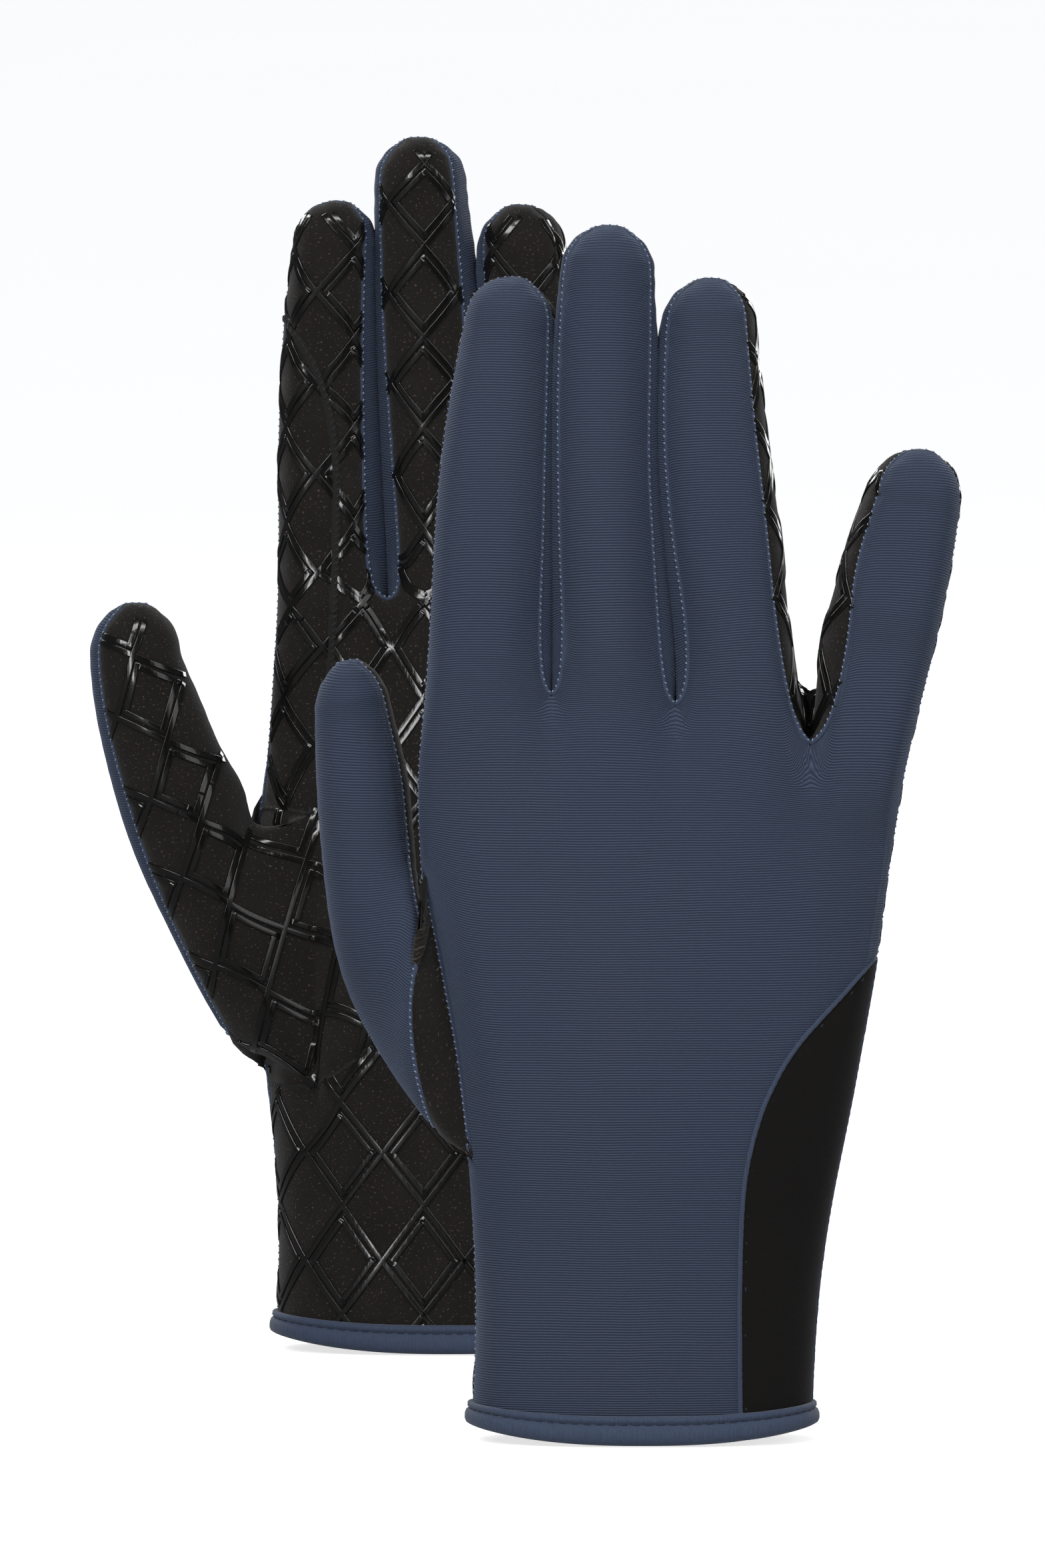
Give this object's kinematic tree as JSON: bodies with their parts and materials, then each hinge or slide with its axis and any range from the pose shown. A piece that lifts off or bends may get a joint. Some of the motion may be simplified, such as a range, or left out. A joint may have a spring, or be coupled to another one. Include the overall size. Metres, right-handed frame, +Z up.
{
  "type": "pair of riding gloves",
  "caption": "Pair of stretch riding gloves with raised grip-print suede palms, jersey backs and bound cuffs, standing upright.",
  "frame": {"origin": "middle of the bottom face of the pair's box, on the surface that the cuffs stand on", "axes": "+Z up along the fingers, +X from the thumbs to the little fingers, +Y from the right glove to the left glove"},
  "size_m": [0.1664, 0.237, 0.235],
  "materials": {
    "navy_stretch": "fine cross-ribbed stretch jersey, matt",
    "black_suede": "matt synthetic suede with raised gloss silicone lines",
    "black_smooth": "smooth matt stretch cloth",
    "navy_binding": "ribbed stretch tape",
    "elastic": "woven elastic tape"
  },
  "bodies": {
    "left_hand": {"left_back_panel": "navy_stretch", "left_cuff_binding": "navy_binding", "left_palm_panel": "black_suede", "left_radial_strip_base": "black_suede", "left_thenar_panel": "black_suede", "left_thumb_gusset": "black_suede", "left_thumb_root_panel": "navy_stretch", "left_ulnar_wrist_panel": "black_smooth", "left_wrist_elastic": "elastic"},
    "left_index": {"left_index_back": "navy_stretch", "left_index_palm": "black_suede", "left_index_radial_strip": "black_suede", "left_index_ulnar_wall": "navy_stretch"},
    "left_middle": {"left_middle_back": "navy_stretch", "left_middle_palm": "black_suede", "left_middle_radial_wall": "navy_stretch", "left_middle_ulnar_wall": "navy_stretch"},
    "left_ring": {"left_ring_back": "navy_stretch", "left_ring_palm": "black_suede", "left_ring_radial_wall": "navy_stretch", "left_ring_ulnar_wall": "black_suede"},
    "left_pinky": {"left_pinky_back": "navy_stretch", "left_pinky_palm": "black_suede", "left_pinky_radial_wall": "black_suede"},
    "left_thumb": {"left_thumb_back": "navy_stretch", "left_thumb_palm": "black_suede"},
    "right_hand": {"right_back_panel": "navy_stretch", "right_cuff_binding": "navy_binding", "right_palm_panel": "black_suede", "right_radial_strip_base": "black_suede", "right_thenar_panel": "black_suede", "right_thumb_gusset": "black_suede", "right_thumb_root_panel": "navy_stretch", "right_ulnar_wrist_panel": "black_smooth", "right_wrist_elastic": "elastic"},
    "right_index": {"right_index_back": "navy_stretch", "right_index_palm": "black_suede", "right_index_radial_strip": "black_suede", "right_index_ulnar_wall": "navy_stretch"},
    "right_middle": {"right_middle_back": "navy_stretch", "right_middle_palm": "black_suede", "right_middle_radial_wall": "navy_stretch", "right_middle_ulnar_wall": "navy_stretch"},
    "right_ring": {"right_ring_back": "navy_stretch", "right_ring_palm": "black_suede", "right_ring_radial_wall": "navy_stretch", "right_ring_ulnar_wall": "black_suede"},
    "right_pinky": {"right_pinky_back": "navy_stretch", "right_pinky_palm": "black_suede", "right_pinky_radial_wall": "black_suede"},
    "right_thumb": {"right_thumb_back": "navy_stretch", "right_thumb_palm": "black_suede"}
  },
  "joints": [
    {"name": "right_glove_lift", "type": "slide", "parent": "left_hand", "child": "right_hand", "axis": [0, 0, 1], "range_m": [0, 0.3]},
    {"name": "left_index_bend", "type": "hinge", "parent": "left_hand", "child": "left_index", "pos_m": [-0.03641, 0.0906, 0.1453], "axis": [1, 0, 0], "range_deg": [0, 75]},
    {"name": "left_middle_bend", "type": "hinge", "parent": "left_hand", "child": "left_middle", "pos_m": [-0.01451, 0.0906, 0.1453], "axis": [1, 0, 0], "range_deg": [0, 75]},
    {"name": "left_ring_bend", "type": "hinge", "parent": "left_hand", "child": "left_ring", "pos_m": [0.00774, 0.0906, 0.1445], "axis": [1, 0, 0], "range_deg": [0, 75]},
    {"name": "left_pinky_bend", "type": "hinge", "parent": "left_hand", "child": "left_pinky", "pos_m": [0.02814, 0.0906, 0.141], "axis": [1, 0, 0], "range_deg": [0, 75]},
    {"name": "left_thumb_bend", "type": "hinge", "parent": "left_hand", "child": "left_thumb", "pos_m": [-0.06551, 0.0801, 0.10575], "axis": [0.7797, 0, 0.6262], "range_deg": [0, 50]},
    {"name": "right_index_bend", "type": "hinge", "parent": "right_hand", "child": "right_index", "pos_m": [-0.00606, -0.0906, 0.145], "axis": [-1, 0, 0], "range_deg": [0, 75]},
    {"name": "right_middle_bend", "type": "hinge", "parent": "right_hand", "child": "right_middle", "pos_m": [0.01744, -0.0906, 0.145], "axis": [-1, 0, 0], "range_deg": [0, 75]},
    {"name": "right_ring_bend", "type": "hinge", "parent": "right_hand", "child": "right_ring", "pos_m": [0.04189, -0.0906, 0.144], "axis": [-1, 0, 0], "range_deg": [0, 75]},
    {"name": "right_pinky_bend", "type": "hinge", "parent": "right_hand", "child": "right_pinky", "pos_m": [0.06409, -0.0906, 0.14], "axis": [-1, 0, 0], "range_deg": [0, 75]},
    {"name": "right_thumb_bend", "type": "hinge", "parent": "right_hand", "child": "right_thumb", "pos_m": [-0.02736, -0.0781, 0.101], "axis": [-0.553, 0, -0.8332], "range_deg": [0, 50]}
  ]
}
